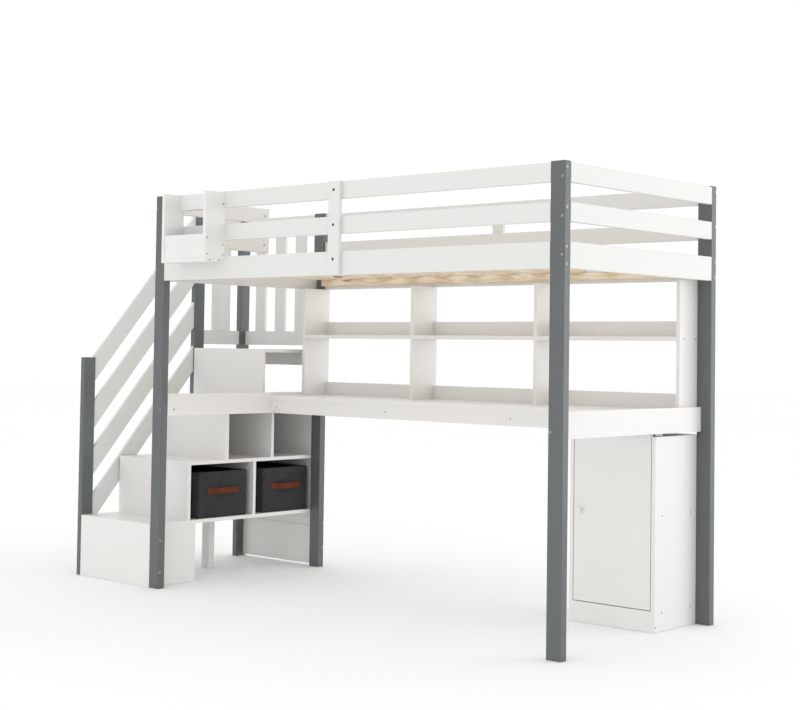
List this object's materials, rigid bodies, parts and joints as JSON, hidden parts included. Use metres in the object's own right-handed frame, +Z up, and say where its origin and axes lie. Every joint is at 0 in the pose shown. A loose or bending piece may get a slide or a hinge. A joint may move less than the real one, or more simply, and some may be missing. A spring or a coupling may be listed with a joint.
{
  "type": "loft bed with desk",
  "caption": "Loft bed with slatted base and guard rails over a desk with a shelf hutch, a door cabinet and storage stairs with bins.",
  "frame": {"origin": "middle of the whole object's box, on the floor", "axes": "+X along the bed from the stairs to the cabinet end, +Y from the open front to the back, +Z up"},
  "size_m": [2.554, 1.079, 1.608],
  "materials": {
    "grey_post_paint": "satin grey paint on solid pine posts",
    "white_rail_paint": "satin white paint on solid pine rails",
    "white_board": "smooth satin white painted fibreboard",
    "natural_pine": "bare sanded pine",
    "charcoal_fabric": "woven charcoal cloth over stiff board",
    "rust_leather": "reddish brown leather strap",
    "bolt_steel": "bright zinc plated bolts",
    "screw_steel": "zinc plated screws",
    "white_knob": "gloss white round knob"
  },
  "bodies": {
    "bed": {"bed_slats": "natural_pine", "board_screws": "screw_steel", "cabinet_back": "white_board", "cabinet_bottom": "white_board", "cabinet_plinth": "white_board", "cabinet_shelf": "white_board", "cabinet_sides": "white_board", "cabinet_top": "white_board", "desk_back_apron": "white_board", "desk_end_apron_left": "white_board", "desk_end_apron_right": "white_board", "desk_front_apron": "white_board", "desk_top": "white_board", "door_pivot_bracket": "bolt_steel", "end_rails": "white_rail_paint", "frame_bolts": "bolt_steel", "guard_rails_back": "white_rail_paint", "guard_rails_front": "white_rail_paint", "guard_rails_left": "white_rail_paint", "guard_rails_right": "white_rail_paint", "guard_stile_back": "white_rail_paint", "guard_stile_front": "white_rail_paint", "guard_stile_left": "white_rail_paint", "handrail_boards": "white_rail_paint", "hutch_lips": "white_board", "hutch_shelves": "white_board", "hutch_uprights": "white_board", "landing_board": "white_board", "landing_guard_back": "white_rail_paint", "landing_guard_left": "white_rail_paint", "landing_supports": "white_board", "post_back_left": "grey_post_paint", "post_back_right": "grey_post_paint", "post_front_left": "grey_post_paint", "post_front_right": "grey_post_paint", "side_rail_back": "white_rail_paint", "side_rail_front": "white_rail_paint", "slat_ledgers": "natural_pine", "stair_back_boards": "white_board", "stair_leg": "white_rail_paint", "stair_post_back": "grey_post_paint", "stair_post_front": "grey_post_paint", "stair_post_middle": "grey_post_paint", "step_1_box": "white_board", "step_1_tread": "white_board", "step_2_boards": "white_board", "step_2_walls": "white_board", "step_3_tread": "white_board", "step_3_walls": "white_board", "tray_back_boards": "white_board", "tray_bottom": "white_board", "tray_front": "white_board", "tray_sides": "white_board"},
    "cabinet_door_leaf": {"cabinet_door": "white_board", "cabinet_knob": "white_knob", "door_pivot_pins": "bolt_steel"},
    "front_bin": {"bin_front": "charcoal_fabric", "bin_front_strap": "rust_leather"},
    "back_bin": {"bin_back": "charcoal_fabric", "bin_back_strap": "rust_leather"}
  },
  "joints": [
    {"name": "cabinet_door_hinge", "type": "hinge", "parent": "bed", "child": "cabinet_door_leaf", "pos_m": [1.188, 0.215, 0], "axis": [0, 0, 1], "range_deg": [0, 105]},
    {"name": "front_bin_slide", "type": "slide", "parent": "bed", "child": "front_bin", "axis": [1, 0, 0], "range_m": [0, 0.3]},
    {"name": "back_bin_slide", "type": "slide", "parent": "bed", "child": "back_bin", "axis": [1, 0, 0], "range_m": [0, 0.3]}
  ]
}
